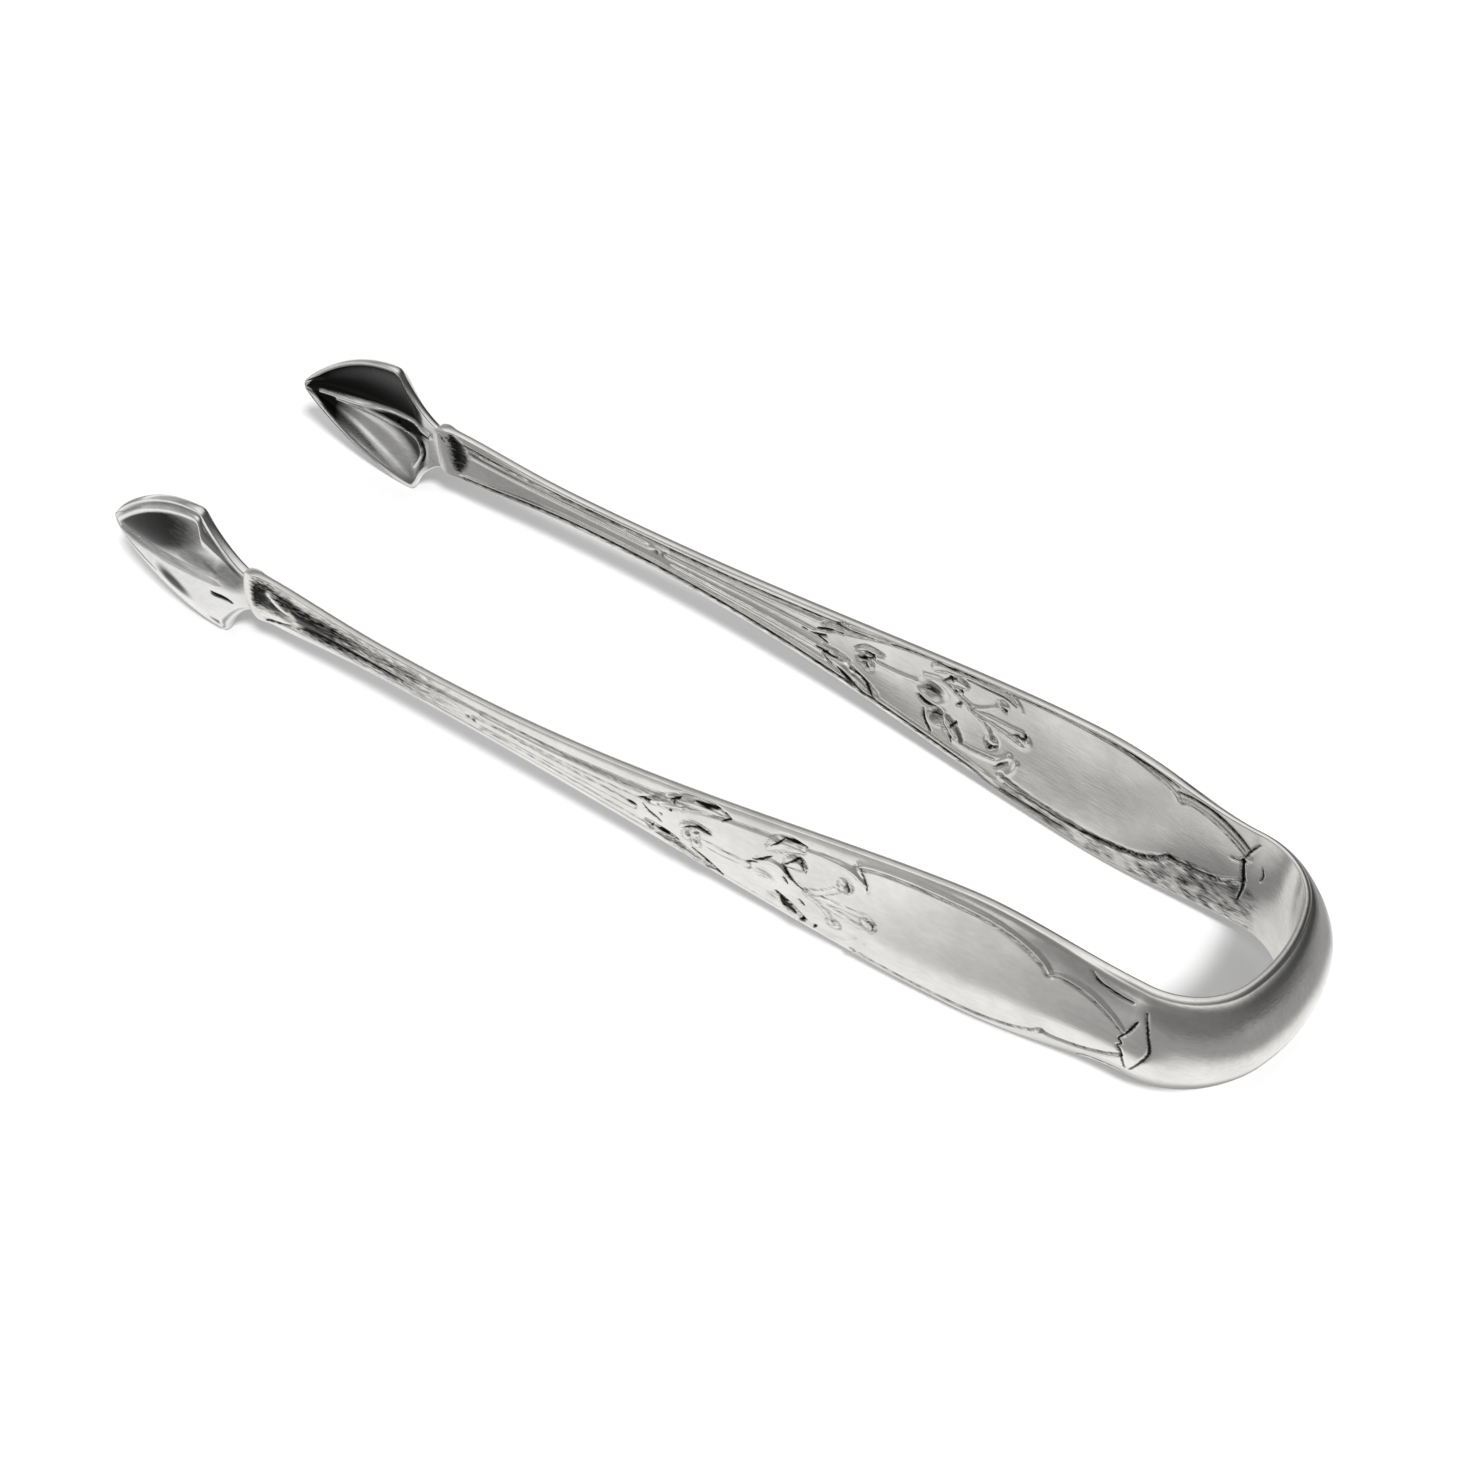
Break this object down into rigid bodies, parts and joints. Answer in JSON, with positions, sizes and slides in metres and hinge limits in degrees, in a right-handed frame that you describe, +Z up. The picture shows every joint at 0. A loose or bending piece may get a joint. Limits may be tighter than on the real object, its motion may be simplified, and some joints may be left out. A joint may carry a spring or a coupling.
{
  "type": "sugar tongs",
  "caption": "Silver sugar tongs: a bowed spring carries broad panelled arms that end in dished, barbed claws; squeezing the arms closes the claws on a lump of sugar.",
  "frame": {"origin": "on the table under the middle of the tongs: centre of the bounding box in X and Y, lowest point in Z", "axes": "+X along the tongs from the claw tips to the crown of the bow, +Y across the gap from the left arm to the right arm, +Z up, along the width of the strip, as the tongs lie on their edges"},
  "size_m": [0.1098, 0.0278, 0.0139],
  "materials": {
    "bow_silver": "polished silver, lightly worn",
    "arm_silver": "polished silver with dark patina in the ornament",
    "claw_silver": "polished silver with dark patina in the hollows"
  },
  "bodies": {
    "bow": {"bow_spring": "bow_silver"},
    "left_side": {"left_arm": "arm_silver", "left_claw": "claw_silver"},
    "right_side": {"right_arm": "arm_silver", "right_claw": "claw_silver"}
  },
  "joints": [
    {"name": "right_flex", "type": "hinge", "parent": "bow", "child": "right_side", "pos_m": [0.0516, 0.00505, 0.00695], "axis": [0, 0, 1], "range_deg": [0, 6], "stiffness_Nm_per_rad": 4, "deforming": ["bow_spring"]},
    {"name": "left_flex", "type": "hinge", "parent": "bow", "child": "left_side", "pos_m": [0.0516, -0.00505, 0.00695], "axis": [0, 0, 1], "range_deg": [-6, 0], "stiffness_Nm_per_rad": 4, "deforming": ["bow_spring"]}
  ],
  "couplings": [
    {"joint": "left_flex", "follows": "right_flex", "ratio": -1}
  ]
}
